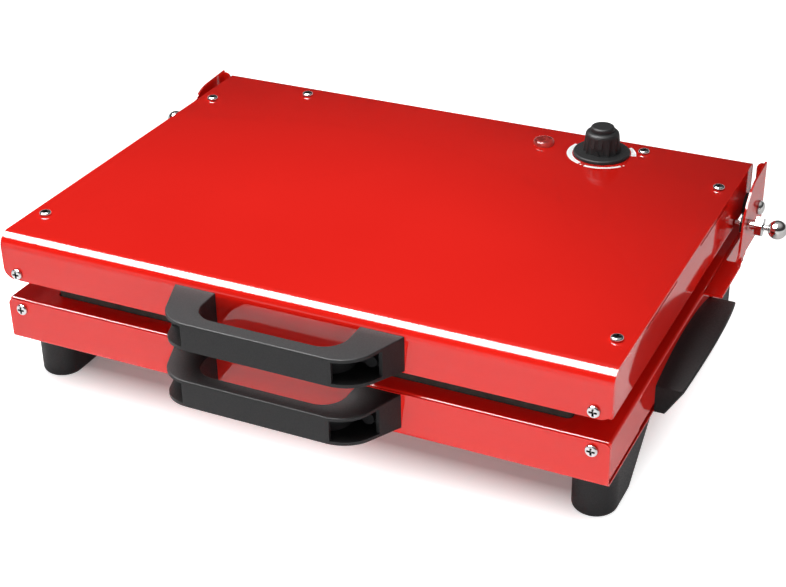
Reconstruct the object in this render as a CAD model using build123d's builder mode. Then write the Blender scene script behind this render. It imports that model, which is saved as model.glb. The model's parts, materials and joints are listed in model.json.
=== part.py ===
from build123d import *
import os

os.makedirs("parts", exist_ok=True)

# Overall sizes, in millimetres. The body rests on its feet, front towards -Y.
body_width = 440.0
body_depth = 317.0
base_height = 32.0
lid_height = 33.5
body_gap = 15.8
foot_height = 38.0

# Sheet metal
sheet = 1.2
cover_bend = 10.0
cover_rear_bend = 3.0
shell_bend = 3.0
frame_bend = 2.0
cover_corner = 8.0
shell_corner = 4.5
shell_rim_drop = 0.5
base_wall_gap = 5.0
fold_short = 10.0
slot_height = 1.6
slot_spans = ((-98.5, -33.5), (19.5, 86.5))
tab_width = 20.0
tab_depth = 18.0
tab_overlap = 4.0

# Stones and heating
stone_side_margin = 31.0
stone_front_margin = 16.5
stone_rear_room = 55.5
stone_thickness = 12.0
stone_proud = 4.0
stone_edge = 1.3
stone_rim = 5.0
stone_play = 0.8
stone_corner = 4.0
pan_sheet = 0.8
pan_flange = 6.0
heater_diameter = 6.5
heater_bend = 18.0
heater_end_spacing = 60.0
heater_end_reach = 10.0
heater_side_inset = 25.0
heater_front_inset = 28.0
heater_hairpin = 45.0
heater_inner_x = 60.0
saddle_width = 12.0
saddle_depth = 8.0
insulation = 6.0
rail_width = 8.0
rail_sheet = 1.0
rail_end_inset = 10.0
terminal_width = 76.0
terminal_depth = 16.0
terminal_height = 22.0
terminal_corner = 2.0

# Front handles
handle_width = 165.0
handle_reach = 42.0
handle_height = 24.8
handle_front_height = 19.6
handle_side_lean = 0.37
handle_outer_radius = 24.0
handle_opening = 104.0
handle_bar = 11.0
handle_inner_radius = 16.0
handle_wall = 2.3
handle_window_start = 53.0
handle_window_end = 17.6
handle_core_start = 36.0
handle_core_from_wall = 6.0
handle_screw_spacing = 134.0
handle_boss_radius = 4.2
handle_boss_length = 16.0
handle_hole_depth = 12.0
handle_edge_radius = 0.8
lid_handle_drop = 7.3
lid_handle_shift = 3.0
base_handle_drop = 1.0

# Side grips
grip_length = 127.0
grip_ear_gap = 2.5
grip_end_height = 19.5
grip_mid_height = 28.0
grip_below = 0.7
grip_foot = 7.0
grip_slant = 0.62
grip_wall = 2.6
grip_screw_spacing = 84.0
grip_screw_height = 11.5
grip_boss_radius = 5.0
grip_hole_depth = 10.0
grip_edge_radius = 1.2

# Feet
foot_width = 30.0
foot_side_inset = 2.0
foot_end_inset = 15.0
foot_flat_end = 54.0
foot_slope_end = 104.0
foot_edge_radius = 4.0
foot_wall = 3.0
foot_boss_radius = 5.0
foot_hole_depth = 12.0
foot_rear_screw = 14.0

# Hinge ears, measured from the rear face
ear_offset = 10.0
ear_sheet = 1.5
ear_length = 60.0
ear_toe_length = 5.0
ear_toe_height = 6.0
ear_lean = 4.5
ear_above_pivot = 30.5
ear_top_fall = 3.0
ear_corner = 32.0
ear_flange_corner = 4.0
ear_flange = 7.0
ear_strip_length = 94.0
ear_strip_clear = 2.0
ear_strip_bottom = 6.5
ear_screw_insets = (15.0, 79.0)
ear_screw_height = 18.5
ledge_reach = 13.0
ledge_length = 52.0
ledge_cut_front = 3.0
ledge_cut_rear = 10.0
ledge_bridge = 12.0
ledge_slot_corner = 2.0
pivot_from_rear = 14.0
pivot_rise = 5.2
pivot_radius = 3.0
running_play = 0.05
clearance = 0.3

# Lid pivots
pivot_head_radius = 5.2
pivot_head_height = 4.2
pivot_head_dome = 3.4
pivot_gap = 0.15
pivot_end_short = 1.0
block_width = 12.0
block_length = 12.0
block_height = 13.0
spacer_radius = 9.0

# Index plungers
plunger_from_rear = 44.5
plunger_pin_radius = 2.0
plunger_stroke = 3.0
plunger_tip_clear = 0.5
plunger_tip_chamfer = 0.4
plunger_sleeve_radius = 4.0
plunger_sleeve_tail = 1.2
plunger_hex = 13.0
plunger_hex_standoff = 6.0
plunger_hex_thickness = 5.0
plunger_ball_radius = 7.0
plunger_nut_thickness = 3.0
lock_hole_play = 1.2
sleeve_cap = 1.25
sleeve_lip = 2.0
cavity_radius = 3.1
collar_radius = 2.95
collar_thickness = 1.5
collar_gap = 0.1
spring_wire = 0.5
spring_length = 3.5

# Controls on the lid
knob_inset = 106.8
lamp_inset = 152.5
controls_from_rear = 29.5
knob_skirt_radius = 21.0
knob_skirt_thickness = 2.5
knob_skirt_edge = 1.0
knob_body_radius = 12.9
knob_body_flare = 1.0
knob_body_taper = 6.0
knob_shoulder = 18.5
knob_shoulder_edge = 3.0
knob_cap_radius = 8.8
knob_cap_edge = 1.8
knob_height = 22.2
knob_recess_radius = 9.5
knob_recess_depth = 4.2
knob_flutes = 14
knob_flute_radius = 3.0
knob_flute_depth = 0.7
knob_flute_start = 0.4
knob_flute_stop = 3.5
knob_facet_y = 11.4
knob_facet_width = 17.0
knob_facet_height = 6.0
pointer_radius = 1.7
pointer_rise = 1.4
pointer_reach = 1.2
shaft_radius = 3.0
shaft_rise = 15.0
shaft_foot = 10.0
neck_radius = 5.0
neck_reach = 3.5
nut_height = 2.6
nut_hex = 14.0
thermostat_width = 34.0
thermostat_depth = 28.0
thermostat_height = 14.0
lamp_radius = 8.0
lamp_neck_radius = 6.0
lamp_neck_length = 8.0
lamp_body_radius = 7.5
lamp_body_height = 18.0
lens_rim = 1.2
lens_dome = 3.0

# Cord gland
gland_inset = 70.0
gland_height = 19.5
gland_radius = 6.0
gland_flange = 9.0
gland_reach = 4.0
gland_edge = 1.5
gland_lip = 2.0
gland_lip_radius = 8.0
gland_bore = 3.5

# Fasteners: recess and rounding as shares of the head's own radius and height
head_radius = 4.2
head_height = 2.4
head_rounding = 0.6
shank_radius = 2.0
recess_span = 1.25
recess_width = 0.34
recess_depth = 0.6
recess_taper = 12.0
top_screw_length = 8.0
face_screw_length = 7.0
nut_thread = 4.0
side_screw_inset = 11.4
side_screw_front = 38.0
side_screw_rear = 53.0
rear_screw_inset = 78.5
rear_screw_from_back = 15.5
lid_face_screw_height = 5.2
base_face_screw_drop = 7.0

# Levels and planes worked out from the sizes
half_width = body_width / 2
base_bottom = foot_height
base_top = base_bottom + base_height
lid_bottom = base_top + body_gap
lid_top = lid_bottom + lid_height
front_y = (handle_reach - gland_reach - body_depth) / 2
rear_y = front_y + body_depth
mid_y = (front_y + rear_y) / 2
stone_width = body_width - 2 * stone_side_margin
stone_depth = body_depth - stone_front_margin - stone_rear_room
stone_y = front_y + stone_front_margin + stone_depth / 2
lid_inside_top = lid_top - sheet
base_inside_floor = base_bottom + sheet
inner_wall_y = body_depth / 2 - sheet
wall_pair = 2 * sheet
through = 2.5 * sheet
knob_x = half_width - knob_inset
lamp_x = half_width - lamp_inset
controls_y = rear_y - controls_from_rear
pivot_y = rear_y - pivot_from_rear
pivot_z = lid_bottom + pivot_rise
plunger_y = rear_y - plunger_from_rear
ear_outside = half_width + ear_offset
ear_inside = ear_outside - ear_sheet

# Each half is built inward from its open face
lower_face = Plane(origin=(0, stone_y, base_top), x_dir=(1, 0, 0), z_dir=(0, 0, -1))
upper_face = Plane(origin=(0, stone_y, lid_bottom), x_dir=(1, 0, 0), z_dir=(0, 0, 1))

low = (Align.CENTER, Align.CENTER, Align.MIN)
high = (Align.CENTER, Align.CENTER, Align.MAX)
up = (0, 0, 1)
forward = (0, -1, 0)
backward = (0, 1, 0)


def drill(plane, spots, radius, reach):
    """Round holes, reach deep on both sides of a plane."""
    with BuildSketch(plane) as circles:
        with Locations(*spots):
            Circle(radius)
    extrude(circles.sketch, amount=reach, both=True, mode=Mode.SUBTRACT)


def facing(x, y, z, direction):
    """A place whose own Z points along a direction."""
    return Plane(origin=(x, y, z), z_dir=direction).location


def round_bends(section, upward, bends):
    """Round the front and the rear corner of a side view, at its bottom or at its top."""
    for end, bend in zip((0, -1), bends):
        level = section.vertices().group_by(Axis.Y)[0 if upward else -1]
        fillet(level.sort_by(Axis.X)[end], bend)


def u_sheet(web_z, rim_z, front_bend, rear_bend):
    """A sheet bent into a U across the depth, from its web to its two rims."""
    upward = rim_z > web_z
    for inset, mode in ((0, Mode.ADD), (sheet, Mode.SUBTRACT)):
        middle_z = (web_z + rim_z) / 2 + (inset if upward else -inset)
        with BuildSketch(Plane.YZ) as section:
            with Locations((mid_y, middle_z)):
                Rectangle(body_depth - 2 * inset, abs(rim_z - web_z))
            round_bends(section, upward, (front_bend - inset, rear_bend - inset))
        extrude(section.sketch, amount=half_width, both=True, mode=mode)


def folded_frame(face_z, rim_z, web_z, front_bend, rear_bend):
    """A frame plate with four folded walls that fit inside a bent sheet, and the stone's opening."""
    inward = 1 if rim_z > face_z else -1
    depth = abs(rim_z - face_z)
    with Locations((0, mid_y, (face_z + rim_z) / 2)):
        Box(body_width, 2 * inner_wall_y, depth)
    plate_side = Axis.Z if inward < 0 else -Axis.Z
    folds = edges().group_by(plate_side)[-1] + edges().filter_by(Axis.Z)
    fillet(folds, frame_bend)
    with Locations((0, mid_y, (face_z + rim_z) / 2 + inward * sheet)):
        Box(body_width - 2 * sheet, 2 * (inner_wall_y - sheet), depth, mode=Mode.SUBTRACT)
    with Locations((0, mid_y, web_z)):
        Box(body_width - 2 * sheet, 2 * inner_wall_y, 2 * fold_short, mode=Mode.SUBTRACT)
    inside_web = web_z - inward * sheet
    with BuildSketch(Plane.YZ) as space:
        with Locations((mid_y, (face_z + inside_web) / 2)):
            Rectangle(2 * inner_wall_y, abs(inside_web - face_z))
        round_bends(space, inward < 0, (front_bend - sheet, rear_bend - sheet))
    extrude(space.sketch, amount=half_width, both=True, mode=Mode.INTERSECT)
    with BuildSketch(Plane.XY.offset(face_z)) as opening:
        with Locations((0, stone_y)):
            RectangleRounded(stone_width + 2 * stone_play, stone_depth + 2 * stone_play, stone_corner)
    extrude(opening.sketch, amount=2 * sheet, both=True, mode=Mode.SUBTRACT)


# Positions of the fasteners that several pieces share
end_screw_x = half_width - side_screw_inset
end_spots_base = [(side * end_screw_x, base_top - base_face_screw_drop) for side in (-1, 1)]
end_spots_lid = [(side * end_screw_x, lid_bottom + lid_face_screw_height) for side in (-1, 1)]
lid_handle_top = lid_top - lid_handle_drop
base_handle_top = base_top - base_handle_drop
handle_spots_lid = [(lid_handle_shift + side * handle_screw_spacing / 2, lid_handle_top - handle_height / 2)
                    for side in (-1, 1)]
handle_spots_base = [(side * handle_screw_spacing / 2, base_handle_top - handle_height / 2) for side in (-1, 1)]
side_screw_rows = (front_y + side_screw_front, rear_y - side_screw_rear)
side_spots = [(side * end_screw_x, row) for side in (-1, 1) for row in side_screw_rows]
rear_screw_x = half_width - rear_screw_inset
rear_screw_y = rear_y - rear_screw_from_back
rear_spots = [(side * rear_screw_x, rear_screw_y) for side in (-1, 1)]
foot_x = half_width - foot_side_inset - foot_width / 2
foot_screw_rows = (foot_end_inset + foot_width / 2, foot_flat_end + foot_rear_screw)
foot_spots = [(side * foot_x, y) for side in (-1, 1) for row in foot_screw_rows
              for y in (front_y + row, rear_y - row)]
strip_rear_y = rear_y - ear_strip_clear
strip_front_y = strip_rear_y - ear_strip_length
grip_y = strip_front_y - grip_ear_gap - grip_length / 2
grip_screw_z = base_bottom + grip_screw_height
grip_spots = [(grip_y + side * grip_screw_spacing / 2, grip_screw_z) for side in (-1, 1)]
ear_screw_z = base_bottom + ear_screw_height
ear_spots = [(strip_rear_y - inset, ear_screw_z) for inset in ear_screw_insets]
gland_z = base_bottom + gland_height
gland_x = gland_inset - half_width
front_face = Plane.XZ.offset(-front_y)
rear_face = Plane.XZ.offset(-rear_y)

# Base shell: floor, front and rear faces in one bent sheet
with BuildPart() as base_shell:
    u_sheet(base_bottom, base_top - shell_rim_drop, shell_bend, shell_bend)
    fillet(base_shell.edges().filter_by(Axis.Y).group_by(Axis.Z)[-1].filter_by(lambda e: e.length < wall_pair),
           shell_corner)
    drill(front_face, end_spots_base + handle_spots_base, shank_radius + clearance, through)
    drill(rear_face, end_spots_base, shank_radius + clearance, through)
    drill(rear_face, [(gland_x, gland_z)], gland_radius, through)
    drill(Plane.XY.offset(base_bottom), foot_spots, shank_radius + clearance, through)
base_shell.part.label = "base_shell"
export_step(base_shell.part, "parts/base_shell.step")

# Base frame: face plate round the lower stone, folded walls inside the shell
with BuildPart() as base_frame:
    folded_frame(base_top, base_bottom + base_wall_gap, base_bottom, shell_bend, shell_bend)
    for start, end in slot_spans:
        with Locations((0, mid_y + (start + end) / 2, base_bottom + base_wall_gap)):
            Box(2 * body_width, end - start, 2 * slot_height, mode=Mode.SUBTRACT)
    drill(front_face, end_spots_base + handle_spots_base, shank_radius + running_play, through)
    drill(rear_face, end_spots_base, shank_radius + running_play, through)
    drill(rear_face, [(gland_x, gland_z)], gland_radius, through)
    for side in (-1, 1):
        wall = Plane.YZ.offset(side * half_width)
        drill(wall, grip_spots + ear_spots, shank_radius + running_play, through)
base_frame.part.label = "base_frame"
export_step(base_frame.part, "parts/base_frame.step")

# Lid cover: top, front and rear faces in one bent sheet
with BuildPart() as lid_cover:
    u_sheet(lid_top, lid_bottom, cover_bend, cover_rear_bend)
    fillet(lid_cover.edges().filter_by(Axis.Y).group_by(Axis.Z)[0].filter_by(lambda e: e.length < wall_pair),
           cover_corner)
    drill(front_face, end_spots_lid + handle_spots_lid, shank_radius + clearance, through)
    drill(rear_face, end_spots_lid, shank_radius + clearance, through)
    drill(Plane.XY.offset(lid_top), side_spots + rear_spots, shank_radius + clearance, through)
    drill(Plane.XY.offset(lid_top), [(knob_x, controls_y)], neck_radius, through)
    drill(Plane.XY.offset(lid_top), [(lamp_x, controls_y)], lamp_neck_radius, through)
lid_cover.part.label = "lid_cover"
export_step(lid_cover.part, "parts/lid_cover.step")

# Lid frame: face plate round the upper stone, vented side walls, screw tabs under the cover
with BuildPart() as lid_frame:
    folded_frame(lid_bottom, lid_inside_top, lid_top, cover_bend, cover_rear_bend)
    for start, end in slot_spans:
        with Locations((0, mid_y + (start + end) / 2, lid_inside_top)):
            Box(2 * body_width, end - start, 2 * slot_height, mode=Mode.SUBTRACT)
    for side in (-1, 1):
        for row in side_screw_rows:
            with Locations((side * (half_width - sheet), row, lid_inside_top)):
                edge = Align.MAX if side > 0 else Align.MIN
                Box(tab_width, tab_depth, sheet, align=(edge, Align.CENTER, Align.MAX))
        with BuildSketch(Plane.YZ.offset(side * rear_screw_x)) as tab:
            with BuildLine():
                FilletPolyline((rear_y - 1.5 * sheet, lid_top - fold_short - tab_overlap),
                               (rear_y - 1.5 * sheet, lid_top - 1.5 * sheet),
                               (rear_screw_y - tab_depth / 2, lid_top - 1.5 * sheet),
                               radius=cover_rear_bend - 1.5 * sheet)
            trace(line_width=sheet)
        extrude(tab.sketch, amount=tab_depth / 2, both=True)
        wall = Plane.YZ.offset(side * half_width)
        drill(wall, [(pivot_y, pivot_z)], pivot_radius + running_play, through)
        drill(wall, [(plunger_y, pivot_z)], plunger_pin_radius + lock_hole_play, through)
    drill(Plane.XY.offset(lid_inside_top), side_spots + rear_spots, shank_radius + running_play, through)
    drill(front_face, end_spots_lid + handle_spots_lid, shank_radius + running_play, through)
    drill(rear_face, end_spots_lid, shank_radius + running_play, through)
lid_frame.part.label = "lid_frame"
export_step(lid_frame.part, "parts/lid_frame.step")

# Cooking stones, heat pans, rails, heaters, saddles and insulation, one set in each half
stone_back = stone_thickness - stone_proud
pan_inner_width = stone_width + 2 * (stone_rim + stone_play)
pan_inner_depth = stone_depth + 2 * (stone_rim + stone_play)
pan_corner = stone_corner + stone_rim
heater_radius = heater_diameter / 2
heater_x = stone_width / 2 - heater_side_inset
heater_y = stone_depth / 2 - heater_front_inset
heater_inner_y = heater_y - heater_hairpin
heater_end_x = heater_end_spacing / 2
heater_end_y = pan_inner_depth / 2 + pan_sheet + heater_end_reach
rail_y = stone_depth / 2 - rail_width / 2
rail_length = stone_width - 2 * rail_end_inset
saddle_spots = [(side * x, 0) for side in (-1, 1) for x in (heater_x, heater_inner_x)]
half_height = {"lower": base_height, "upper": lid_height}
terminal_start = {"lower": base_height - sheet - terminal_height, "upper": sheet}

for half, face in (("lower", lower_face), ("upper", upper_face)):
    rear = face.y_dir.Y
    inward = Axis((0, 0, 0), face.z_dir)
    heater_ends = [(side * heater_end_x, rear * heater_end_y) for side in (-1, 1)]
    heater_turns = [(-heater_end_x, heater_y), (-heater_x, heater_y), (-heater_x, -heater_y),
                    (-heater_inner_x, -heater_y), (-heater_inner_x, heater_inner_y)]
    heater_left = [(x, rear * y) for x, y in heater_turns]
    heater_right = [(-x, y) for x, y in reversed(heater_left)]
    pan_floor = half_height[half] - sheet - insulation
    heater_level = (stone_back + pan_floor - pan_sheet) / 2
    heater_z = face.origin.Z + face.z_dir.Z * heater_level
    end_holes = [(side * heater_end_x, heater_z) for side in (-1, 1)]

    with BuildPart() as stone:
        with BuildSketch(face.offset(-stone_proud)):
            RectangleRounded(stone_width, stone_depth, stone_corner)
        extrude(amount=stone_thickness)
        fillet(stone.faces().sort_by(inward)[0].edges(), stone_edge)
        with BuildSketch(face.offset(sheet)):
            RectangleRounded(stone_width + 2 * stone_rim, stone_depth + 2 * stone_rim, pan_corner)
        extrude(amount=stone_back - sheet)
    stone.part.label = f"{half}_stone"
    export_step(stone.part, f"parts/{half}_stone.step")

    with BuildPart() as heat_pan:
        with BuildSketch(face.offset(sheet)):
            RectangleRounded(pan_inner_width + 2 * (pan_sheet + pan_flange),
                             pan_inner_depth + 2 * (pan_sheet + pan_flange), pan_corner + pan_flange)
        extrude(amount=pan_sheet)
        with BuildSketch(face.offset(sheet)):
            RectangleRounded(pan_inner_width + 2 * pan_sheet, pan_inner_depth + 2 * pan_sheet,
                             pan_corner + pan_sheet)
        extrude(amount=pan_floor - sheet)
        with BuildSketch(face.offset(sheet)):
            RectangleRounded(pan_inner_width, pan_inner_depth, pan_corner)
        extrude(amount=pan_floor - sheet - pan_sheet, mode=Mode.SUBTRACT)
        rear_wall = Plane.XZ.offset(-stone_y - pan_inner_depth / 2)
        drill(rear_wall, end_holes, heater_radius + running_play, through)
    heat_pan.part.label = f"{half}_heat_pan"
    export_step(heat_pan.part, f"parts/{half}_heat_pan.step")

    with BuildPart() as stone_rails:
        for side in (-1, 1):
            with BuildSketch(face.offset(stone_back)):
                with Locations((0, side * rail_y)):
                    Rectangle(rail_length, rail_width)
            extrude(amount=rail_sheet)
            with BuildSketch(face.offset(stone_back)):
                with Locations((0, side * (rail_y + (rail_width - rail_sheet) / 2))):
                    Rectangle(rail_length, rail_sheet)
            extrude(amount=pan_floor - pan_sheet - stone_back)
        drill(rear_wall, end_holes, heater_radius + running_play, 2 * rail_width)
    stone_rails.part.label = f"{half}_stone_rails"
    export_step(stone_rails.part, f"parts/{half}_stone_rails.step")

    with BuildPart() as heater:
        with BuildLine(face.offset(heater_level)) as route:
            FilletPolyline(heater_ends[0], *heater_left, *heater_right, heater_ends[1], radius=heater_bend)
        with BuildSketch(Plane(origin=route.line @ 0, z_dir=route.line % 0)):
            Circle(heater_radius)
        sweep()
    heater.part.label = f"{half}_heater"
    export_step(heater.part, f"parts/{half}_heater.step")

    with BuildPart() as heater_saddles:
        with BuildSketch(face.offset(heater_level)):
            with Locations(*saddle_spots):
                Rectangle(saddle_width, saddle_depth)
        extrude(amount=pan_floor - pan_sheet - heater_level)
        drill(Plane.XZ.offset(-stone_y), [(x, heater_z) for x, _ in saddle_spots],
              heater_radius + running_play, saddle_depth)
    heater_saddles.part.label = f"{half}_heater_saddles"
    export_step(heater_saddles.part, f"parts/{half}_heater_saddles.step")

    with BuildPart() as insulation_board:
        with BuildSketch(face.offset(pan_floor)):
            RectangleRounded(pan_inner_width, pan_inner_depth, pan_corner)
        extrude(amount=insulation)
    insulation_board.part.label = f"{half}_insulation"
    export_step(insulation_board.part, f"parts/{half}_insulation.step")

    with BuildPart() as terminal_block:
        with BuildSketch(face.offset(terminal_start[half])):
            with Locations((0, rear * (heater_end_y + terminal_depth / 2))):
                RectangleRounded(terminal_width, terminal_depth, terminal_corner)
        extrude(amount=terminal_height)
    terminal_block.part.label = f"{half}_terminal_block"
    export_step(terminal_block.part, f"parts/{half}_terminal_block.step")


def handle_outline(middle):
    """Plan of a front handle: sides that lean in and rounded front corners."""
    front_half_width = handle_width / 2 - handle_reach * handle_side_lean
    with BuildSketch(middle) as outline:
        with BuildLine():
            Polyline((-handle_width / 2, front_y), (-front_half_width, front_y - handle_reach),
                     (front_half_width, front_y - handle_reach), (handle_width / 2, front_y), close=True)
        make_face()
        fillet(outline.vertices().group_by(Axis.Y)[0], handle_outer_radius)
    return outline.sketch


def handle_gap(middle, grow):
    """Plan of the space between a front handle's bar and the body, grown on every side."""
    depth = handle_reach - handle_bar + grow
    with BuildSketch(middle) as gap:
        with Locations((0, front_y - depth / 2)):
            Rectangle(handle_opening + 2 * grow, depth)
        fillet(gap.vertices().group_by(Axis.Y)[0], handle_inner_radius + grow)
    return gap.sketch


def handle_side_view(top, inset):
    """Side view of a front handle, whose underside rises towards the front."""
    with BuildSketch(Plane.YZ) as side_view:
        with BuildLine():
            Polyline((front_y, top - inset), (front_y, top - handle_height + inset),
                     (front_y - handle_reach, top - handle_front_height + inset),
                     (front_y - handle_reach, top - inset), close=True)
        make_face()
    return side_view.sketch


# Front handles: the same moulding on the lid and on the base, hollow behind its corner windows
handles = (("lid", lid_handle_shift, lid_handle_top, handle_spots_lid),
           ("base", 0, base_handle_top, handle_spots_base))
for half, middle_x, top, spots in handles:
    middle = Plane((middle_x, 0, 0))
    with BuildPart() as handle_core:
        with BuildSketch(Plane.XY.offset(top - handle_height)) as core_plan:
            add(handle_outline(middle))
            offset(amount=-handle_wall)
            for side in (-1, 1):
                with Locations((middle_x + side * (handle_window_start + handle_width / 2),
                                front_y - handle_window_end - handle_reach / 2)):
                    Rectangle(handle_width, handle_reach)
            add(handle_gap(middle, handle_wall), mode=Mode.SUBTRACT)
            with Locations((middle_x, front_y)):
                Rectangle(2 * handle_width, 2 * handle_core_from_wall, mode=Mode.SUBTRACT)
            with Locations((middle_x, front_y - handle_reach / 2)):
                Rectangle(2 * handle_core_start, 2 * handle_reach, mode=Mode.SUBTRACT)
        extrude(amount=handle_height)
        extrude(handle_side_view(top, handle_wall), amount=handle_width, both=True, mode=Mode.INTERSECT)
        for x, z in spots:
            with Locations(facing(x, front_y, z, forward)):
                Cylinder(handle_boss_radius, handle_boss_length, align=low, mode=Mode.SUBTRACT)

    with BuildPart() as front_handle:
        with BuildSketch(Plane.XY.offset(top - handle_height)):
            add(handle_outline(middle))
            add(handle_gap(middle, 0), mode=Mode.SUBTRACT)
        extrude(amount=handle_height)
        extrude(handle_side_view(top, 0), amount=handle_width, both=True, mode=Mode.INTERSECT)
        rim = front_handle.faces().sort_by(Axis.Z)[-1].edges().filter_by(lambda e: e.center().Y < front_y - sheet)
        fillet(rim, handle_edge_radius)
        add(handle_core.part, mode=Mode.SUBTRACT)
        drill(front_face, spots, shank_radius + running_play, handle_hole_depth)
    front_handle.part.label = f"{half}_handle"
    export_step(front_handle.part, f"parts/{half}_handle.step")


def grip_form(inset):
    """A side grip's solid: crowned on top, slanting in below, with its walls set in by inset."""
    bottom = base_bottom - grip_below + inset
    top = base_bottom + grip_mid_height
    slant_shift = inset * (1 + grip_slant ** 2) ** 0.5
    foot_reach = half_width + grip_foot + grip_slant * inset - slant_shift
    top_reach = foot_reach + grip_slant * (top - bottom)
    wall_x = half_width - inset
    half_length = grip_length / 2 - inset
    with BuildPart() as form:
        with BuildSketch(Plane.XZ.offset(-grip_y)) as section:
            with BuildLine():
                Polyline((wall_x, bottom), (foot_reach, bottom), (top_reach, top), (wall_x, top), close=True)
            make_face()
        extrude(section.sketch, amount=half_length, both=True)
        end_z = base_bottom + grip_end_height - inset
        with BuildSketch(Plane.YZ) as crown:
            with BuildLine():
                ThreePointArc((grip_y - grip_length / 2, end_z), (grip_y, top - inset),
                              (grip_y + grip_length / 2, end_z))
                Polyline((grip_y + grip_length / 2, end_z), (grip_y + grip_length / 2, bottom),
                         (grip_y - grip_length / 2, bottom), (grip_y - grip_length / 2, end_z))
            make_face()
        extrude(crown.sketch, amount=2 * half_width, both=True, mode=Mode.INTERSECT)
    return form.part


# Side grips: hollow mouldings, open only against the base's side walls
with BuildPart() as grip_core:
    add(grip_form(grip_wall))
    for y, z in grip_spots:
        with Locations(facing(half_width, y, z, (1, 0, 0))):
            Cylinder(grip_boss_radius, 4 * grip_boss_radius, mode=Mode.SUBTRACT)
with BuildPart() as side_grip_right:
    add(grip_form(0))
    fillet(side_grip_right.edges().filter_by(lambda e: e.center().X > half_width + sheet), grip_edge_radius)
    add(grip_core.part, mode=Mode.SUBTRACT)
    drill(Plane.YZ.offset(half_width), grip_spots, shank_radius + running_play, grip_hole_depth)
with BuildPart() as side_grip_left:
    add(mirror(side_grip_right.part, about=Plane.YZ, mode=Mode.PRIVATE))
side_grip_right.part.label = "side_grip_right"
export_step(side_grip_right.part, "parts/side_grip_right.step")
side_grip_left.part.label = "side_grip_left"
export_step(side_grip_left.part, "parts/side_grip_left.step")


def foot_form(inset):
    """A front right foot's solid: round front, upright sides, a sole that slopes up to the rear."""
    nose_y = front_y + foot_end_inset + foot_width / 2
    run = foot_slope_end - foot_flat_end
    slope_length = (run ** 2 + foot_height ** 2) ** 0.5
    sole_end = front_y + foot_flat_end + inset * (slope_length - run) / foot_height
    slope_top = sole_end + run * (foot_height - inset) / foot_height
    with BuildPart() as form:
        with BuildSketch(Plane.XY) as plan:
            with Locations((foot_x, nose_y)):
                Circle(foot_width / 2 - inset)
            with Locations((foot_x, nose_y + foot_slope_end / 2)):
                Rectangle(foot_width - 2 * inset, foot_slope_end)
        extrude(plan.sketch, amount=foot_height)
        with BuildSketch(Plane.YZ) as side_view:
            with BuildLine():
                Polyline((front_y, inset), (sole_end, inset), (slope_top, foot_height),
                         (front_y, foot_height), close=True)
            make_face()
        extrude(side_view.sketch, amount=2 * half_width, both=True, mode=Mode.INTERSECT)
    return form.part


# Feet: hollow mouldings open at the top, with two screw bosses each
with BuildPart() as foot_core:
    add(foot_form(foot_wall))
    with Locations(*[(foot_x, front_y + row, 0) for row in foot_screw_rows]):
        Cylinder(foot_boss_radius, foot_height, align=low, mode=Mode.SUBTRACT)
with BuildPart() as foot:
    add(foot_form(0))
    fillet(foot.edges().filter_by(lambda e: e.center().Z < foot_height - sheet), foot_edge_radius)
    add(foot_core.part, mode=Mode.SUBTRACT)
    drill(Plane.XY.offset(foot_height), [(foot_x, front_y + row) for row in foot_screw_rows],
          shank_radius + running_play, foot_hole_depth)
foot_front_left = mirror(foot.part, about=Plane.YZ)
foot_rear_right = mirror(foot.part, about=Plane.XZ.offset(-mid_y))
foot_rear_left = mirror(foot_front_left, about=Plane.XZ.offset(-mid_y))
for name, solid in (("foot_front_right", foot.part), ("foot_front_left", foot_front_left),
                    ("foot_rear_right", foot_rear_right), ("foot_rear_left", foot_rear_left)):
    solid.label = name
    export_step(solid, f"parts/{name}.step")

# Hinge ears: one folded plate on each side, a ledge in front and an upright ear at the rear
strip_bottom = base_bottom + ear_strip_bottom
strip_gap = ear_inside - half_width - ear_sheet
toe_y = rear_y - ear_length - ear_toe_length
ledge_front_y = toe_y - ledge_length
bridge_y = rear_y - ledge_bridge
ear_top = pivot_z + ear_above_pivot
with BuildPart() as hinge_ear_right:
    with Locations((half_width, strip_front_y, strip_bottom)):
        Box(ear_sheet, ear_strip_length, base_top - strip_bottom, align=Align.MIN)
    with BuildSketch(Plane.XY.offset(base_top - ear_sheet)) as ledge:
        with BuildLine():
            Polyline((half_width, ledge_front_y), (half_width + ledge_reach, ledge_front_y),
                     (half_width + ledge_reach, toe_y - ledge_cut_front),
                     (ear_outside, toe_y + ledge_cut_rear), (ear_outside, rear_y),
                     (half_width, rear_y), close=True)
        make_face()
        with Locations((half_width + ear_sheet + strip_gap / 2, (toe_y + bridge_y) / 2)):
            RectangleRounded(strip_gap, bridge_y - toe_y, ledge_slot_corner, mode=Mode.SUBTRACT)
    extrude(ledge.sketch, amount=ear_sheet)
    with BuildSketch(Plane.YZ.offset(ear_inside)) as ear:
        with BuildLine():
            Polyline((toe_y, base_top), (rear_y - ear_length, base_top + ear_toe_height),
                     (rear_y - ear_length + ear_lean, ear_top - ear_top_fall),
                     (rear_y, ear_top), (rear_y, base_top), close=True)
        make_face()
        corner = ear.vertices().sort_by(Axis.X).sort_by(Axis.Y)[-2:].sort_by(Axis.X)[0]
        fillet(corner, ear_corner)
    extrude(ear.sketch, amount=ear_sheet)
    with Locations((ear_outside, rear_y, base_top - ear_sheet)):
        Box(ear_flange, ear_sheet, ear_top - base_top, align=(Align.MAX, Align.MAX, Align.MIN))
    flange_top = hinge_ear_right.edges().filter_by(Axis.Y).group_by(Axis.Z)[-1].sort_by(Axis.X)[0]
    fillet(flange_top, ear_flange_corner)
    drill(Plane.YZ.offset(ear_inside), [(pivot_y, pivot_z)], pivot_radius + running_play, through)
    drill(Plane.YZ.offset(ear_inside), [(plunger_y, pivot_z)], plunger_sleeve_radius, through)
    drill(Plane.YZ.offset(half_width), ear_spots, shank_radius + running_play, through)
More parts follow.
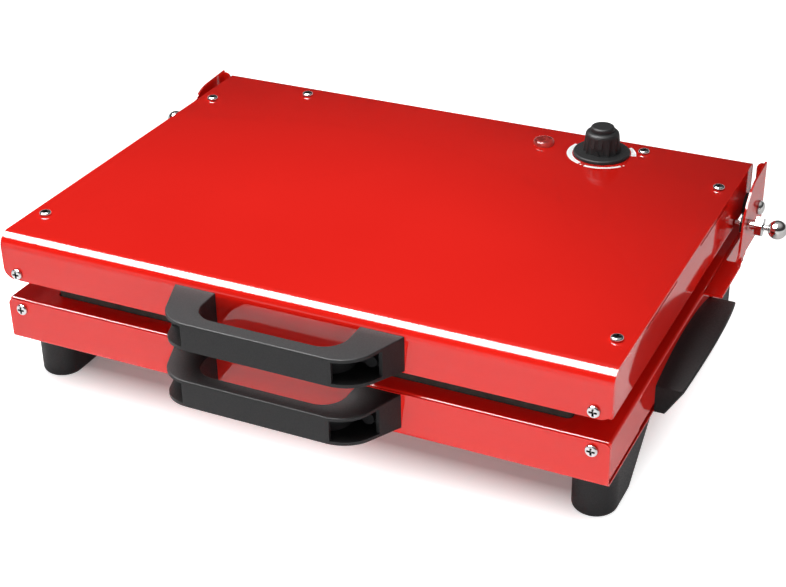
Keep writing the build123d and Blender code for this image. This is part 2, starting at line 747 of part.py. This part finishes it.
with BuildPart() as hinge_ear_left:
    add(mirror(hinge_ear_right.part, about=Plane.YZ, mode=Mode.PRIVATE))
hinge_ear_right.part.label = "hinge_ear_right"
export_step(hinge_ear_right.part, "parts/hinge_ear_right.step")
hinge_ear_left.part.label = "hinge_ear_left"
export_step(hinge_ear_left.part, "parts/hinge_ear_left.step")


def pan_screw(length):
    """A cross-head screw with its head on +Z and its shank below."""
    span = recess_span * head_radius
    width = recess_width * head_radius
    with BuildPart() as screw:
        Cylinder(head_radius, head_height, align=low)
        fillet(screw.edges().group_by(Axis.Z)[-1], head_rounding * head_height)
        Cylinder(shank_radius, length, align=high)
        with BuildSketch(Plane.XY.offset(head_height)):
            Rectangle(span, width)
            Rectangle(width, span)
        extrude(amount=-recess_depth * head_height, taper=recess_taper, mode=Mode.SUBTRACT)
    return screw.part


screw_sets = {
    "lid_top_screws": (top_screw_length, [facing(x, y, lid_top, up) for x, y in side_spots + rear_spots]),
    "lid_face_screws": (face_screw_length, [facing(x, front_y, z, forward) for x, z in end_spots_lid]
                        + [facing(x, rear_y, z, backward) for x, z in end_spots_lid]),
    "base_face_screws": (face_screw_length, [facing(x, front_y, z, forward) for x, z in end_spots_base]
                         + [facing(x, rear_y, z, backward) for x, z in end_spots_base]),
    "lid_handle_screws": (handle_hole_depth,
                          [facing(x, front_y + wall_pair, z, backward) for x, z in handle_spots_lid]),
    "base_handle_screws": (handle_hole_depth,
                           [facing(x, front_y + wall_pair, z, backward) for x, z in handle_spots_base]),
    "side_grip_screws": (grip_hole_depth,
                         [facing(side * (half_width - sheet), y, z, (-side, 0, 0))
                          for side in (-1, 1) for y, z in grip_spots]),
    "foot_screws": (foot_hole_depth, [facing(x, y, base_inside_floor, up) for x, y in foot_spots]),
    "hinge_ear_screws": (ear_sheet + sheet + nut_thread,
                         [facing(side * (half_width + ear_sheet), y, z, (side, 0, 0))
                          for side in (-1, 1) for y, z in ear_spots]),
}
for name, (length, places) in screw_sets.items():
    with BuildPart() as screws:
        with Locations(*places):
            add(pan_screw(length))
    screws.part.label = name
    export_step(screws.part, f"parts/{name}.step")

# Lid pivots: dome-head bolts that turn in the ears, spacers outside the lid and blocks inside it
with BuildPart() as pivot_bolts:
    for side in (-1, 1):
        head_x = side * (ear_outside + pivot_gap)
        with Locations(facing(head_x, pivot_y, pivot_z, (side, 0, 0))):
            Cylinder(pivot_head_radius, pivot_head_height, align=low)
            Cylinder(pivot_radius, ear_offset + pivot_gap + sheet + block_width - pivot_end_short, align=high)
    domes = pivot_bolts.edges().filter_by(lambda e: abs(e.center().X) > ear_outside + pivot_head_height)
    fillet(domes, pivot_head_dome)
pivot_bolts.part.label = "pivot_bolts"
export_step(pivot_bolts.part, "parts/pivot_bolts.step")

with BuildPart() as hinge_spacers:
    for side in (-1, 1):
        with Locations(facing(side * half_width, pivot_y, pivot_z, (side, 0, 0))):
            Cylinder(spacer_radius, ear_inside - half_width - pivot_gap, align=low)
            Cylinder(pivot_radius + running_play, 4 * ear_offset, mode=Mode.SUBTRACT)
hinge_spacers.part.label = "hinge_spacers"
export_step(hinge_spacers.part, "parts/hinge_spacers.step")

with BuildPart() as hinge_blocks:
    for side in (-1, 1):
        edge = Align.MAX if side > 0 else Align.MIN
        with Locations((side * (half_width - sheet), pivot_y, lid_bottom + sheet)):
            Box(block_width, block_length, block_height, align=(edge, Align.CENTER, Align.MIN))
        drill(Plane.YZ.offset(side * half_width), [(pivot_y, pivot_z)], pivot_radius + running_play, 4 * block_width)
hinge_blocks.part.label = "hinge_blocks"
export_step(hinge_blocks.part, "parts/hinge_blocks.step")

# Index plungers: threaded sleeve with a hexagon collar, lock nut, spring, and a pin with a ball knob
sleeve_end_x = ear_inside - plunger_nut_thickness - plunger_sleeve_tail
hex_start_x = ear_outside + plunger_hex_standoff
hex_end_x = hex_start_x + plunger_hex_thickness
ball_x = hex_end_x + plunger_stroke + clearance + plunger_ball_radius
tip_x = half_width + plunger_tip_clear
collar_end_x = hex_end_x - sleeve_cap - spring_length
with BuildPart() as plunger_sleeves:
    for side in (-1, 1):
        axis_plane = Plane(origin=(side * sleeve_end_x, plunger_y, pivot_z), z_dir=(side, 0, 0))
        with BuildSketch(axis_plane) as thread:
            Circle(plunger_sleeve_radius)
        extrude(thread.sketch, amount=hex_end_x - sleeve_end_x)
        with BuildSketch(axis_plane.offset(hex_start_x - sleeve_end_x)) as hexagon:
            RegularPolygon(plunger_hex / 2, 6, major_radius=False)
        extrude(hexagon.sketch, amount=plunger_hex_thickness)
        with BuildSketch(axis_plane) as bore:
            Circle(plunger_pin_radius + running_play)
        extrude(bore.sketch, amount=hex_end_x - sleeve_end_x, mode=Mode.SUBTRACT)
        with BuildSketch(axis_plane.offset(sleeve_lip)) as cavity:
            Circle(cavity_radius)
        extrude(cavity.sketch, amount=hex_end_x - sleeve_end_x - sleeve_lip - sleeve_cap, mode=Mode.SUBTRACT)
plunger_sleeves.part.label = "plunger_sleeves"
export_step(plunger_sleeves.part, "parts/plunger_sleeves.step")

with BuildPart() as plunger_nuts:
    for side in (-1, 1):
        nut_plane = Plane(origin=(side * ear_inside, plunger_y, pivot_z), z_dir=(-side, 0, 0))
        with BuildSketch(nut_plane) as nut:
            RegularPolygon(plunger_hex / 2, 6, major_radius=False)
            Circle(plunger_sleeve_radius, mode=Mode.SUBTRACT)
        extrude(nut.sketch, amount=plunger_nut_thickness)
plunger_nuts.part.label = "plunger_nuts"
export_step(plunger_nuts.part, "parts/plunger_nuts.step")

with BuildPart() as plunger_springs:
    for side in (-1, 1):
        spring_plane = Plane(origin=(side * (collar_end_x + collar_gap), plunger_y, pivot_z), z_dir=(side, 0, 0))
        with BuildSketch(spring_plane) as turns:
            Circle(collar_radius)
            Circle(collar_radius - spring_wire, mode=Mode.SUBTRACT)
        extrude(turns.sketch, amount=hex_end_x - sleeve_cap - collar_end_x - collar_gap)
plunger_springs.part.label = "plunger_springs"
export_step(plunger_springs.part, "parts/plunger_springs.step")

for side_name, side in (("left", -1), ("right", 1)):
    with BuildPart() as plunger_pin:
        with Locations(facing(side * tip_x, plunger_y, pivot_z, (side, 0, 0))):
            Cylinder(plunger_pin_radius, ball_x - tip_x, align=low)
        with Locations(facing(side * collar_end_x, plunger_y, pivot_z, (side, 0, 0))):
            Cylinder(collar_radius, collar_thickness, align=high)
        chamfer(plunger_pin.edges().sort_by(Axis.X)[0 if side > 0 else -1], plunger_tip_chamfer)
    plunger_pin.part.label = f"plunger_pin_{side_name}"
    export_step(plunger_pin.part, f"parts/plunger_pin_{side_name}.step")

    with BuildPart() as plunger_ball:
        with Locations(facing(side * ball_x, plunger_y, pivot_z, (-side, 0, 0))):
            Sphere(plunger_ball_radius)
            Cylinder(plunger_pin_radius, 2 * plunger_ball_radius, align=low, mode=Mode.SUBTRACT)
    plunger_ball.part.label = f"plunger_ball_{side_name}"
    export_step(plunger_ball.part, f"parts/plunger_ball_{side_name}.step")

# Thermostat under the cover, its shaft, nut and knob
shaft_top = lid_top + shaft_rise
with BuildPart() as thermostat:
    with Locations((knob_x, controls_y, lid_inside_top)):
        Box(thermostat_width, thermostat_depth, thermostat_height, align=high)
        Cylinder(neck_radius - running_play, sheet + neck_reach, align=low)
        Cylinder(shaft_radius + running_play, 2 * (shaft_foot + running_play), mode=Mode.SUBTRACT)
thermostat.part.label = "thermostat"
export_step(thermostat.part, "parts/thermostat.step")

with BuildPart() as thermostat_nut:
    with BuildSketch(Plane.XY.offset(lid_top)):
        with Locations((knob_x, controls_y)):
            RegularPolygon(nut_hex / 2, 6, major_radius=False)
            Circle(neck_radius, mode=Mode.SUBTRACT)
    extrude(amount=nut_height)
thermostat_nut.part.label = "thermostat_nut"
export_step(thermostat_nut.part, "parts/thermostat_nut.step")

with BuildPart() as thermostat_shaft:
    with Locations((knob_x, controls_y, lid_inside_top - shaft_foot)):
        Cylinder(shaft_radius, shaft_top - lid_inside_top + shaft_foot, align=low)
thermostat_shaft.part.label = "thermostat_shaft"
export_step(thermostat_shaft.part, "parts/thermostat_shaft.step")

knob_bottom = lid_top + clearance
facet_z = knob_bottom + knob_skirt_thickness
flute_bottom = facet_z + knob_flute_start
flute_top = knob_bottom + knob_shoulder - knob_flute_stop
with BuildPart() as temperature_knob:
    with Locations((knob_x, controls_y, knob_bottom)):
        Cylinder(knob_skirt_radius, knob_skirt_thickness, align=low)
    fillet(temperature_knob.edges().group_by(Axis.Z)[-1], knob_skirt_edge)
    with BuildSketch(Plane.XY.offset(facet_z)):
        with Locations((knob_x, controls_y)):
            Circle(knob_body_radius + knob_body_flare)
    extrude(amount=knob_shoulder - knob_skirt_thickness, taper=knob_body_taper)
    fillet(temperature_knob.faces().sort_by(Axis.Z)[-1].edges(), knob_shoulder_edge)
    with Locations((knob_x, controls_y, knob_bottom + knob_shoulder)):
        Cylinder(knob_cap_radius, knob_height - knob_shoulder, align=low)
        fillet(temperature_knob.faces().sort_by(Axis.Z)[-1].edges(), knob_cap_edge)
    with BuildSketch(Plane.XY.offset(flute_bottom)) as flutes:
        with Locations((knob_x, controls_y)):
            with PolarLocations(knob_body_radius + knob_flute_radius - knob_flute_depth, knob_flutes, start_angle=-90):
                Circle(knob_flute_radius)
    extrude(flutes.sketch, amount=flute_top - flute_bottom, mode=Mode.SUBTRACT)
    with Locations((knob_x, controls_y - knob_facet_y, facet_z)):
        Box(knob_facet_width, knob_facet_width, knob_facet_height, align=(Align.CENTER, Align.MAX, Align.MIN),
            mode=Mode.SUBTRACT)
    with BuildSketch(Plane.XZ.offset(-(controls_y - knob_facet_y))) as pointer:
        with Locations((knob_x, facet_z + pointer_rise)):
            Circle(pointer_radius)
            with Locations((0, -pointer_rise / 2)):
                Rectangle(2 * pointer_radius, pointer_rise)
    extrude(pointer.sketch, amount=pointer_reach)
    with Locations((knob_x, controls_y, knob_bottom)):
        Cylinder(knob_recess_radius, 2 * knob_recess_depth, mode=Mode.SUBTRACT)
        Cylinder(shaft_radius, 2 * (shaft_top - knob_bottom), mode=Mode.SUBTRACT)
temperature_knob.part.label = "temperature_knob"
export_step(temperature_knob.part, "parts/temperature_knob.step")

# Pilot lamp: a red lens with a neck through the cover, and its body below
with BuildPart() as lamp_lens:
    with Locations((lamp_x, controls_y, lid_top)):
        Cylinder(lamp_radius, lens_rim + lens_dome, align=low)
        Cylinder(lamp_neck_radius - running_play, lamp_neck_length, align=high)
    fillet(lamp_lens.faces().sort_by(Axis.Z)[-1].edges(), lens_dome)
lamp_lens.part.label = "lamp_lens"
export_step(lamp_lens.part, "parts/lamp_lens.step")

with BuildPart() as lamp_body:
    with Locations((lamp_x, controls_y, lid_inside_top)):
        Cylinder(lamp_body_radius, lamp_body_height, align=high)
        Cylinder(lamp_neck_radius, 2 * (lamp_neck_length - sheet), mode=Mode.SUBTRACT)
lamp_body.part.label = "lamp_body"
export_step(lamp_body.part, "parts/lamp_body.step")

# Cord gland: a rubber grommet through the base's rear face
with BuildPart() as cord_gland:
    with Locations(facing(gland_x, rear_y, gland_z, backward)):
        Cylinder(gland_flange, gland_reach, align=low)
    fillet(cord_gland.edges().sort_by(Axis.Y)[-1], gland_edge)
    with Locations(facing(gland_x, rear_y, gland_z, forward)):
        Cylinder(gland_radius - running_play, wall_pair, align=low)
    with Locations(facing(gland_x, rear_y - wall_pair, gland_z, forward)):
        Cylinder(gland_lip_radius, gland_lip, align=low)
    with Locations(facing(gland_x, rear_y, gland_z, forward)):
        Cylinder(gland_bore, 4 * gland_flange, mode=Mode.SUBTRACT)
cord_gland.part.label = "cord_gland"
export_step(cord_gland.part, "parts/cord_gland.step")
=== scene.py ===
import bpy
import bmesh
import json
import math
from mathutils import Matrix, Vector


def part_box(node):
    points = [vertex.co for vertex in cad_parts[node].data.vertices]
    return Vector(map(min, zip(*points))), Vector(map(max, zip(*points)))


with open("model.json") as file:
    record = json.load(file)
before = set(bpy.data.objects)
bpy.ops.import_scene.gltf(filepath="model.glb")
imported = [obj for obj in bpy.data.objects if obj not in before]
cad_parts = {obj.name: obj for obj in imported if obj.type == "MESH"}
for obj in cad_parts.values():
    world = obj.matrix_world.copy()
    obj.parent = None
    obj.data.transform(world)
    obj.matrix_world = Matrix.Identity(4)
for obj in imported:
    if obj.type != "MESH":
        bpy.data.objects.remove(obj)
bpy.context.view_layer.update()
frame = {"nodes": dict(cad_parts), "record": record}
nodes = frame["nodes"]
scene = bpy.context.scene
scene.view_settings.view_transform = "Standard"

# Camera at the photograph's viewing angle
camera_place = (0.4475, -0.8992, 0.6191)
camera_right = Vector((0.90332, 0.42868, -0.01627))
camera_up = Vector((-0.19848, 0.45125, 0.87004))
camera_axes = (camera_right, camera_up, camera_right.cross(camera_up))
camera_data = bpy.data.cameras.new("camera")
camera_data.sensor_width = 36.0
camera_data.lens = 73.48
camera_data.clip_start = 0.05
camera_data.clip_end = 50.0
camera = bpy.data.objects.new("camera", camera_data)
camera.matrix_world = Matrix.Translation(camera_place) @ Matrix(camera_axes).transposed().to_4x4()
scene.collection.objects.link(camera)
scene.camera = camera


class Shader:
    """A Principled material with short helpers for its procedural nodes."""

    def __init__(self, name, **sockets):
        self.material = bpy.data.materials.new(name)
        self.material.use_nodes = True
        self.tree = self.material.node_tree
        self.surface = self.tree.nodes["Principled BSDF"]
        for socket, value in sockets.items():
            self.surface.inputs[socket.replace("_", " ")].default_value = value
        self.coordinates = self.tree.nodes.new("ShaderNodeTexCoord").outputs["Object"]

    def link(self, source, target):
        self.tree.links.new(source, target)

    def node(self, kind, **settings):
        made = self.tree.nodes.new(kind)
        for key, value in settings.items():
            if key in made.inputs:
                made.inputs[key].default_value = value
            else:
                setattr(made, key, value)
        return made

    def math(self, operation, first, second=None):
        made = self.node("ShaderNodeMath", operation=operation)
        for socket, value in zip(made.inputs, (first, second)):
            if isinstance(value, float):
                socket.default_value = value
            elif value is not None:
                self.link(value, socket)
        return made.outputs[0]

    def vector(self, operation, first, second=None):
        made = self.node("ShaderNodeVectorMath", operation=operation)
        self.link(first, made.inputs[0])
        if second is not None:
            made.inputs[1].default_value = second
        return made.outputs["Value" if operation == "LENGTH" else "Vector"]

    def mix(self, factor, first, second, blend_type="MIX"):
        mixed = self.node("ShaderNodeMix", data_type="RGBA", blend_type=blend_type)
        if isinstance(factor, float):
            mixed.inputs["Factor"].default_value = factor
        else:
            self.link(factor, mixed.inputs["Factor"])
        self.link(first, mixed.inputs["A"])
        self.link(second, mixed.inputs["B"])
        return mixed.outputs["Result"]

    def noise(self, scale, detail=3.0, roughness=0.5, stretch=(1, 1, 1)):
        mapping = self.node("ShaderNodeMapping", Scale=stretch)
        self.link(self.coordinates, mapping.inputs["Vector"])
        noise = self.node("ShaderNodeTexNoise", Scale=scale, Detail=detail, Roughness=roughness)
        self.link(mapping.outputs["Vector"], noise.inputs["Vector"])
        return noise.outputs["Fac"]

    def ramp(self, value, *stops):
        ramp = self.node("ShaderNodeValToRGB")
        elements = ramp.color_ramp.elements
        while len(elements) < len(stops):
            elements.new(0.5)
        for element, (position, color) in zip(elements, stops):
            element.position = position
            element.color = (*color, 1.0)
        self.link(value, ramp.inputs["Fac"])
        return ramp.outputs["Color"]

    def spread(self, value, low, high, start=0.3, end=0.7):
        scaled = self.node("ShaderNodeMapRange")
        for key, number in (("From Min", start), ("From Max", end), ("To Min", low), ("To Max", high)):
            scaled.inputs[key].default_value = number
        self.link(value, scaled.inputs["Value"])
        return scaled.outputs["Result"]

    def bump(self, value, strength, distance, under=None):
        bump = self.node("ShaderNodeBump", Strength=strength, Distance=distance)
        self.link(value, bump.inputs["Height"])
        if under is not None:
            self.link(under, bump.inputs["Normal"])
        return bump.outputs["Normal"]

    def color(self, value, *stops):
        self.link(self.ramp(value, *stops), self.surface.inputs["Base Color"])

    def roughness(self, value, low, high):
        self.link(self.spread(value, low, high), self.surface.inputs["Roughness"])

    def normal(self, value):
        self.link(value, self.surface.inputs["Normal"])


painted_ink_glow = 0.35


def red_paint(name="red_paint", printed=None):
    """Gloss powder coat, with a printed(shader) mask in white ink where one is given; the ink glows a little,
    a painted highlight.
    """
    shader = Shader(name, Roughness=0.06, IOR=1.6)
    paint = shader.ramp(shader.noise(5.0, 2.0), (0.3, (0.70, 0.011, 0.006)), (0.7, (0.75, 0.014, 0.008)))
    if printed is not None:
        mask = printed(shader)
        white = shader.ramp(shader.noise(300.0, 2.0), (0.3, (0.80, 0.80, 0.79)), (0.7, (0.84, 0.84, 0.83)))
        paint = shader.mix(mask, paint, white)
        # Painted highlight: the white ink glows, so the print shows brighter than the lamps alone light it.
        shader.link(shader.math("MULTIPLY", mask, painted_ink_glow), shader.surface.inputs["Emission Strength"])
        shader.surface.inputs["Emission Color"].default_value = (1.0, 1.0, 1.0, 1.0)
    shader.link(paint, shader.surface.inputs["Base Color"])
    shader.roughness(shader.noise(60.0), 0.04, 0.08)
    peel = shader.bump(shader.noise(420.0, 2.0, 0.4), 0.12, 0.00001)
    shader.normal(shader.bump(shader.noise(28.0, 1.0, 0.3), 0.15, 0.00005, peel))
    return shader.material


def black_plastic():
    shader = Shader("black_plastic", Roughness=0.5, IOR=1.48, Specular_IOR_Level=0.35)
    shader.color(shader.noise(1800.0, 2.0, 0.7), (0.35, (0.006, 0.006, 0.0065)), (0.7, (0.017, 0.017, 0.018)))
    shader.roughness(shader.noise(900.0), 0.42, 0.6)
    fine = shader.bump(shader.noise(2200.0, 2.0, 0.6), 0.35, 0.00008)
    shader.normal(shader.bump(shader.noise(90.0, 2.0), 0.12, 0.0002, fine))
    return shader.material


def plated(name, color, low, high):
    """Bright plating, with painted shade that darkens it in its hollows."""
    shader = Shader(name, Metallic=1.0, Roughness=0.12)
    tone = shader.ramp(shader.noise(400.0), (0.3, tuple(0.9 * c for c in color)), (0.7, color))
    # Painted shade: where ambient occlusion within 2.2 mm finds a hollow, such as a screw's cross recess, the
    # colour is multiplied down to near black.
    occlusion = shader.node("ShaderNodeAmbientOcclusion", Distance=0.0022)
    painted_recess_shade = shader.ramp(occlusion.outputs["AO"], (0.4, (0.02, 0.02, 0.02)), (0.8, (1.0, 1.0, 1.0)))
    shader.link(shader.mix(1.0, tone, painted_recess_shade, "MULTIPLY"), shader.surface.inputs["Base Color"])
    shader.roughness(shader.noise(250.0, 4.0, 0.6), low, high)
    shader.normal(shader.bump(shader.noise(1500.0, 2.0), 0.1, 0.00002))
    return shader.material


def black_oxide():
    shader = Shader("black_oxide", Metallic=0.4, Roughness=0.4)
    shader.color(shader.noise(300.0, 3.0), (0.3, (0.008, 0.008, 0.008)), (0.7, (0.022, 0.022, 0.022)))
    shader.roughness(shader.noise(250.0), 0.35, 0.55)
    shader.normal(shader.bump(shader.noise(1200.0, 2.0), 0.15, 0.00003))
    return shader.material


def sheet_steel():
    shader = Shader("sheet_steel", Metallic=1.0, Roughness=0.35)
    shader.color(shader.noise(30.0, 3.0), (0.3, (0.42, 0.41, 0.40)), (0.7, (0.58, 0.57, 0.55)))
    shader.roughness(shader.noise(200.0, 3.0, 0.6, (1, 12, 1)), 0.28, 0.5)
    shader.normal(shader.bump(shader.noise(300.0, 3.0, 0.6, (1, 14, 1)), 0.2, 0.00003))
    return shader.material


def heater_sheath():
    shader = Shader("heater_sheath", Metallic=0.9, Roughness=0.55)
    shader.color(shader.noise(80.0, 4.0), (0.3, (0.09, 0.08, 0.075)), (0.7, (0.22, 0.20, 0.18)))
    shader.roughness(shader.noise(150.0), 0.45, 0.7)
    shader.normal(shader.bump(shader.noise(900.0), 0.2, 0.00005))
    return shader.material


def shade_darkened_stone():
    shader = Shader("shade_darkened_stone", Roughness=0.85, IOR=1.5)
    # Painted shade: the stone is coloured near black to stand in for the deep shade in the gap between lid
    # and base.
    shader.color(shader.noise(140.0, 6.0, 0.7), (0.3, (0.022, 0.020, 0.018)), (0.55, (0.040, 0.036, 0.032)),
                 (0.75, (0.070, 0.064, 0.058)))
    shader.roughness(shader.noise(60.0), 0.78, 0.92)
    shader.normal(shader.bump(shader.noise(700.0, 5.0, 0.7), 0.5, 0.00025))
    return shader.material


def fibre_board():
    shader = Shader("fibre_board", Roughness=0.95)
    fibres = shader.noise(60.0, 5.0, 0.6, (1, 3, 1))
    shader.color(fibres, (0.3, (0.66, 0.64, 0.58)), (0.7, (0.82, 0.80, 0.74)))
    shader.roughness(shader.noise(60.0), 0.9, 1.0)
    shader.normal(shader.bump(shader.noise(350.0, 5.0, 0.7, (1, 4, 1)), 0.5, 0.0003))
    return shader.material


def ceramic():
    shader = Shader("ceramic", Roughness=0.6)
    shader.color(shader.noise(90.0), (0.3, (0.74, 0.71, 0.64)), (0.7, (0.84, 0.82, 0.76)))
    shader.roughness(shader.noise(100.0), 0.5, 0.7)
    shader.normal(shader.bump(shader.noise(500.0), 0.2, 0.0001))
    return shader.material


def red_lens():
    shader = Shader("red_lens", Roughness=0.12, IOR=1.49, Transmission_Weight=0.55)
    shader.color(shader.noise(300.0, 2.0), (0.3, (0.72, 0.05, 0.04)), (0.7, (0.85, 0.10, 0.08)))
    shader.roughness(shader.noise(200.0), 0.1, 0.2)
    shader.normal(shader.bump(shader.noise(400.0), 0.1, 0.00005))
    return shader.material


def rubber():
    shader = Shader("rubber", Roughness=0.8)
    shader.color(shader.noise(500.0), (0.3, (0.012, 0.012, 0.012)), (0.7, (0.030, 0.030, 0.030)))
    shader.roughness(shader.noise(300.0), 0.7, 0.9)
    shader.normal(shader.bump(shader.noise(1500.0), 0.3, 0.0001))
    return shader.material


# Printed arcs round the knob. Each lies between an outer and an inner circle, given by radius and centre
# shift in metres, and between two angles in degrees
knob_low, knob_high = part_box("temperature_knob")
print_x = (knob_low[0] + knob_high[0]) / 2
print_y = (knob_low[1] + knob_high[1]) / 2 - 0.0002
print_marks = (
    (0.0257, (0.0, 0.0), 0.0237, (0.0019, 0.0008), 158.0, 246.0),
    (0.0257, (0.0, 0.0), 0.0246, (0.0, 0.0), 250.0, 253.0),
    (0.0264, (0.0, 0.0), 0.0256, (-0.0006, 0.0016), 259.0, 322.0),
    (0.0264, (0.0, 0.0), 0.0252, (0.0, 0.0), 326.0, 329.0),
    (0.0257, (0.0, 0.0), 0.0252, (-0.0040, 0.0016), 12.0, 48.0),
)


def knob_marks(shader):
    """A mask that is 1 on the printed arcs round the knob."""

    def distance(shift):
        place = (-print_x - shift[0], -print_y - shift[1], 0.0)
        flat = shader.node("ShaderNodeMapping", Location=place, Scale=(1.0, 1.0, 0.0))
        shader.link(shader.coordinates, flat.inputs["Vector"])
        return shader.vector("LENGTH", flat.outputs["Vector"])

    split = shader.node("ShaderNodeSeparateXYZ")
    shader.link(shader.coordinates, split.inputs["Vector"])
    east = shader.math("SUBTRACT", split.outputs["X"], print_x)
    north = shader.math("SUBTRACT", split.outputs["Y"], print_y)
    full_turn = shader.node("ShaderNodeMath", operation="WRAP")
    shader.link(shader.math("ARCTAN2", north, east), full_turn.inputs[0])
    full_turn.inputs[1].default_value = 2 * math.pi
    full_turn.inputs[2].default_value = 0.0
    angle = full_turn.outputs[0]

    mask = None
    for outer, outer_shift, inner, inner_shift, start, end in print_marks:
        within = shader.math("LESS_THAN", distance(outer_shift), outer)
        beyond = shader.math("GREATER_THAN", distance(inner_shift), inner)
        after = shader.math("GREATER_THAN", angle, math.radians(start))
        before = shader.math("LESS_THAN", angle, math.radians(end))
        mark = shader.math("MULTIPLY", shader.math("MULTIPLY", within, beyond),
                           shader.math("MULTIPLY", after, before))
        mask = mark if mask is None else shader.math("MAXIMUM", mask, mark)
    return mask


finishes = {
    "red_paint": red_paint(),
    "black_plastic": black_plastic(),
    "bright_screws": plated("bright_screws", (0.72, 0.72, 0.73), 0.08, 0.22),
    "bright_steel": plated("bright_steel", (0.74, 0.73, 0.72), 0.06, 0.16),
    "black_steel": black_oxide(),
    "pan_steel": sheet_steel(),
    "heater_steel": heater_sheath(),
    "stone": shade_darkened_stone(),
    "insulation": fibre_board(),
    "ceramic": ceramic(),
    "red_lens": red_lens(),
    "gland_rubber": rubber(),
}
for subpart in frame["record"]["subparts"]:
    node = nodes[subpart["node"]]
    node.data.materials.clear()
    node.data.materials.append(finishes[subpart["material_slot"]])
nodes["lid_cover"].data.materials[0] = red_paint("printed_paint", knob_marks)

# Pale floor that glows white to the camera, with the glow turned down round the object's footprint: a painted
# shadow zone, in which the lamps' own shadow shows close under the object
shadow_half_size = (0.19, 0.10, 0.0)
shadow_fade = 0.04
glow_in_shadow = 0.12
mirrored_glow = 0.2
floor_mesh = bpy.data.meshes.new("floor")
builder = bmesh.new()
bmesh.ops.create_grid(builder, x_segments=1, y_segments=1, size=6.0)
builder.to_mesh(floor_mesh)
builder.free()
floor = bpy.data.objects.new("floor", floor_mesh)
floor.location.z = -0.0002
scene.collection.objects.link(floor)
paper = Shader("floor_paper", Roughness=0.9)
paper.color(paper.noise(8.0), (0.3, (0.80, 0.80, 0.80)), (0.7, (0.82, 0.82, 0.82)))
ray = paper.node("ShaderNodeLightPath")
seen = paper.math("MULTIPLY", ray.outputs["Is Glossy Ray"], mirrored_glow)
seen = paper.math("MAXIMUM", ray.outputs["Is Camera Ray"], seen)
seen = paper.math("MAXIMUM", seen, ray.outputs["Is Transmission Ray"])
# Painted shadow: inside a rounded rectangle round the footprint the glow drops to glow_in_shadow, fading up
# to full over shadow_fade.
beyond_shadow = paper.vector("SUBTRACT", paper.vector("ABSOLUTE", paper.coordinates), shadow_half_size)
beyond_shadow = paper.vector("LENGTH", paper.vector("MAXIMUM", beyond_shadow, (0.0, 0.0, 0.0)))
level = paper.spread(beyond_shadow, glow_in_shadow, 1.0, 0.0, shadow_fade)
glow = paper.node("ShaderNodeEmission")
paper.link(paper.math("MULTIPLY", seen, level), glow.inputs["Strength"])
both = paper.node("ShaderNodeAddShader")
paper.link(paper.surface.outputs[0], both.inputs[0])
paper.link(glow.outputs[0], both.inputs[1])
paper.link(both.outputs[0], paper.tree.nodes["Material Output"].inputs["Surface"])
floor_mesh.materials.append(paper.material)

# World: white to the camera, and a plain studio to everything else, with its brightness at each height
studio_levels = ((0.13, 0.9), (0.2, 0.05), (0.6, 0.05), (0.95, 0.6))
world = bpy.data.worlds.new("studio")
scene.world = world
world.use_nodes = True
sky = world.node_tree
direction = sky.nodes.new("ShaderNodeTexCoord").outputs["Generated"]
split = sky.nodes.new("ShaderNodeSeparateXYZ")
sky.links.new(direction, split.inputs[0])
height = sky.nodes.new("ShaderNodeValToRGB")
elements = height.color_ramp.elements
elements.new(0.5)
elements.new(0.7)
for element, (position, level) in zip(elements, studio_levels):
    element.position = position
    element.color = (level, level, level, 1)
sky.links.new(split.outputs["Z"], height.inputs["Fac"])
ray = sky.nodes.new("ShaderNodeLightPath")
mix = sky.nodes.new("ShaderNodeMixRGB")
sky.links.new(ray.outputs["Is Camera Ray"], mix.inputs["Fac"])
sky.links.new(height.outputs["Color"], mix.inputs["Color1"])
mix.inputs["Color2"].default_value = (1, 1, 1, 1)
background = sky.nodes["Background"]
sky.links.new(mix.outputs[0], background.inputs["Color"])
background.inputs["Strength"].default_value = 1.0


def add_lamp(data, place, aim, mirrored):
    """A lamp that either lights surfaces or is mirrored in them."""
    lamp = bpy.data.objects.new(data.name, data)
    lamp.location = place
    lamp.rotation_euler = (Vector(aim) - Vector(place)).to_track_quat("-Z", "Y").to_euler()
    lamp.visible_diffuse = not mirrored
    lamp.visible_glossy = mirrored
    scene.collection.objects.link(lamp)


def softbox(name, place, aim, width, height, power, mirrored=False):
    data = bpy.data.lights.new(name, "AREA")
    data.shape = "RECTANGLE"
    data.size = width
    data.size_y = height
    data.energy = power
    add_lamp(data, place, aim, mirrored)


def soft_spot(name, place, aim, cone, blend, radius, power):
    data = bpy.data.lights.new(name, "SPOT")
    data.energy = power
    data.spot_size = math.radians(cone)
    data.spot_blend = blend
    data.shadow_soft_size = radius
    add_lamp(data, place, aim, False)


ceiling_size = (1.2, 1.05)
ceiling_radiance = 22.0
ceiling_power = ceiling_radiance * math.pi * ceiling_size[0] * ceiling_size[1]
soft_spot("key", (-0.10, -0.20, 1.30), (-0.07, -0.20, 0.12), 43.0, 0.6, 0.14, 46.0)
softbox("overhead", (0.0, -0.2, 2.5), (0.0, -0.1, 0.0), 2.0, 2.0, 8.0)
softbox("right_fill", (1.9, -0.5, 0.4), (0.0, 0.0, 0.1), 0.9, 0.6, 7.0)
softbox("front_fill", (0.2, -2.1, 0.45), (0.0, 0.0, 0.1), 1.6, 0.6, 18.0)
softbox("ceiling", (-0.5, -0.34, 1.12), (-0.5, -0.34, 0.0), *ceiling_size, ceiling_power, mirrored=True)
